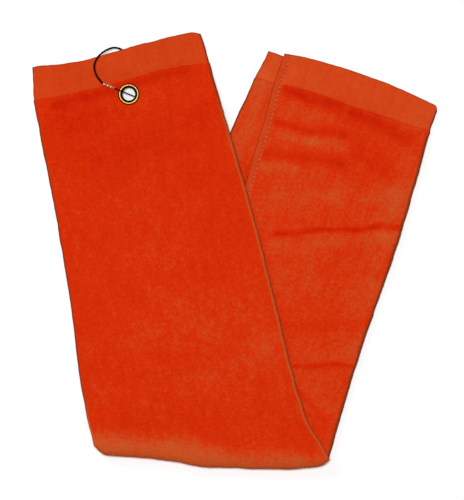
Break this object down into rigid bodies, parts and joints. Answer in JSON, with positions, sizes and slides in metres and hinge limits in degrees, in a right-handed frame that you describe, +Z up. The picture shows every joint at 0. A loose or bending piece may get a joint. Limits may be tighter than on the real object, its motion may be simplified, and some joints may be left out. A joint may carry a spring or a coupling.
{
  "type": "golf towel",
  "caption": "Tri-fold cotton velour golf towel, folded once more across, with flat woven borders, a brass grommet and a wire hook ring that swings in it.",
  "frame": {"origin": "middle of the towel's footprint, on the surface that it lies on", "axes": "+Z up out of the surface, +Y from the crease up along the two legs, +X to the right with the front leg on the left"},
  "size_m": [0.3236, 0.348, 0.0242],
  "materials": {
    "velour": "matte",
    "woven_border": "matte",
    "hem": "matte",
    "thread": "matte",
    "grommet_brass": "gloss",
    "ring_wire": "gloss"
  },
  "bodies": {
    "rear_leg": {"rear_face_panel": "velour", "rear_left_flap": "velour", "rear_right_flap": "velour", "rear_left_fold": "velour", "rear_right_fold": "velour", "rear_left_flap_hem": "hem", "rear_right_flap_hem": "hem", "rear_left_flap_stitching": "thread", "rear_right_flap_stitching": "thread", "rear_woven_border": "woven_border", "crease_outer_wrap": "velour", "crease_middle_wrap": "velour", "crease_inner_wrap": "velour"},
    "front_leg": {"front_face_panel": "velour", "front_left_flap": "velour", "front_right_flap": "velour", "front_left_fold": "velour", "front_right_fold": "velour", "front_left_flap_hem": "hem", "front_right_flap_hem": "hem", "front_left_flap_stitching": "thread", "front_right_flap_stitching": "thread", "front_woven_border": "woven_border", "grommet_eyelet": "grommet_brass", "grommet_washer": "grommet_brass"},
    "hook_ring": {"ring_wire": "ring_wire", "ring_catch": "ring_wire"}
  },
  "joints": [
    {"name": "crease_unfold", "type": "hinge", "parent": "rear_leg", "child": "front_leg", "pos_m": [-0.01589, -0.16047, 0.00825], "axis": [0.9984, -0.0558, 0], "range_deg": [0, 180], "deforming": ["crease_outer_wrap", "crease_middle_wrap", "crease_inner_wrap"]},
    {"name": "ring_swing", "type": "hinge", "parent": "front_leg", "child": "hook_ring", "pos_m": [-0.08514, 0.12475, 0.00897], "axis": [-0.2907, 0.9568, 0], "range_deg": [0, 108]}
  ]
}
